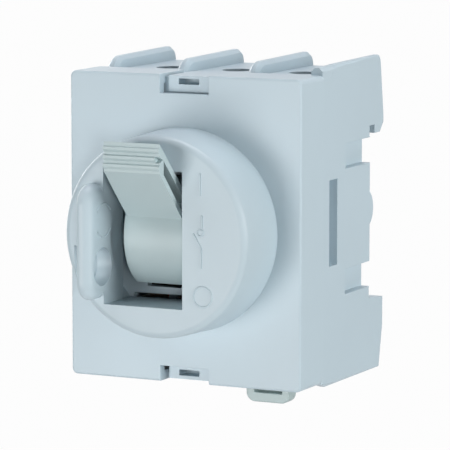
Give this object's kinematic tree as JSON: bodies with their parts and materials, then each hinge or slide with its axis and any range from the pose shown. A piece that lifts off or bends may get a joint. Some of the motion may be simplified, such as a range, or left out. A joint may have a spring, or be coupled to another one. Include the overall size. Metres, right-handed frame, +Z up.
{
  "type": "rail-mounted main switch",
  "caption": "Main switch for a hat rail: pale case with a round collar, a toggle lever beside a padlock eye, screw terminals above and below and a sprung rail clip.",
  "frame": {"origin": "middle of the rail, on the plane where the base seats on the rail's front", "axes": "+Y points back into the rail, -Y is the front with the lever, +Z is up, X runs along the rail"},
  "size_m": [0.0524, 0.0644, 0.0762],
  "materials": {
    "housing_plastic": "fine satin",
    "cover_plastic": "fine satin",
    "collar_plastic": "fine satin",
    "lever_plastic": "fine satin",
    "clip_plastic": "fine satin",
    "frame_plastic": "matte",
    "steel": "ground",
    "screw_steel": "zinc plated",
    "clamp_steel": "zinc plated",
    "spring_steel": "plain",
    "copper": "bare copper",
    "silver": "silver contact"
  },
  "bodies": {
    "housing": {"base_housing": "housing_plastic", "clip_spring": "spring_steel", "fixed_tips": "silver", "front_cover": "cover_plastic", "lever_axle": "steel", "lever_collar": "collar_plastic", "line_clamp_left": "clamp_steel", "line_clamp_middle": "clamp_steel", "line_clamp_right": "clamp_steel", "line_contact_left": "copper", "line_contact_middle": "copper", "line_contact_right": "copper", "load_clamp_left": "clamp_steel", "load_clamp_middle": "clamp_steel", "load_clamp_right": "clamp_steel", "load_contact_left": "copper", "load_contact_middle": "copper", "load_contact_right": "copper", "mechanism_frame": "frame_plastic", "terminal_screws": "screw_steel"},
    "lever": {"toggle_lever": "lever_plastic", "drive_pin": "steel"},
    "carrier": {"contact_carrier": "frame_plastic", "bridge_tips": "silver", "contact_bridge_left": "copper", "contact_bridge_middle": "copper", "contact_bridge_right": "copper", "contact_spring_left": "spring_steel", "contact_spring_middle": "spring_steel", "contact_spring_right": "spring_steel"},
    "clip": {"rail_clip": "clip_plastic"}
  },
  "joints": [
    {"name": "lever_toggle", "type": "hinge", "parent": "housing", "child": "lever", "pos_m": [0, -0.0362, -0.0014], "axis": [1, 0, 0], "range_deg": [0, 74]},
    {"name": "carrier_slide", "type": "slide", "parent": "housing", "child": "carrier", "axis": [0, -1, 0], "range_m": [0, 0.0056]},
    {"name": "clip_slide", "type": "slide", "parent": "housing", "child": "clip", "axis": [0, 0, -1], "range_m": [0, 0.0035], "stiffness_N_per_m": 400, "springref_m": -0.001, "deforming": ["clip_spring"]}
  ],
  "couplings": [
    {"joint": "carrier_slide", "follows": "lever_toggle", "m_per_rad": 0.0041937}
  ]
}
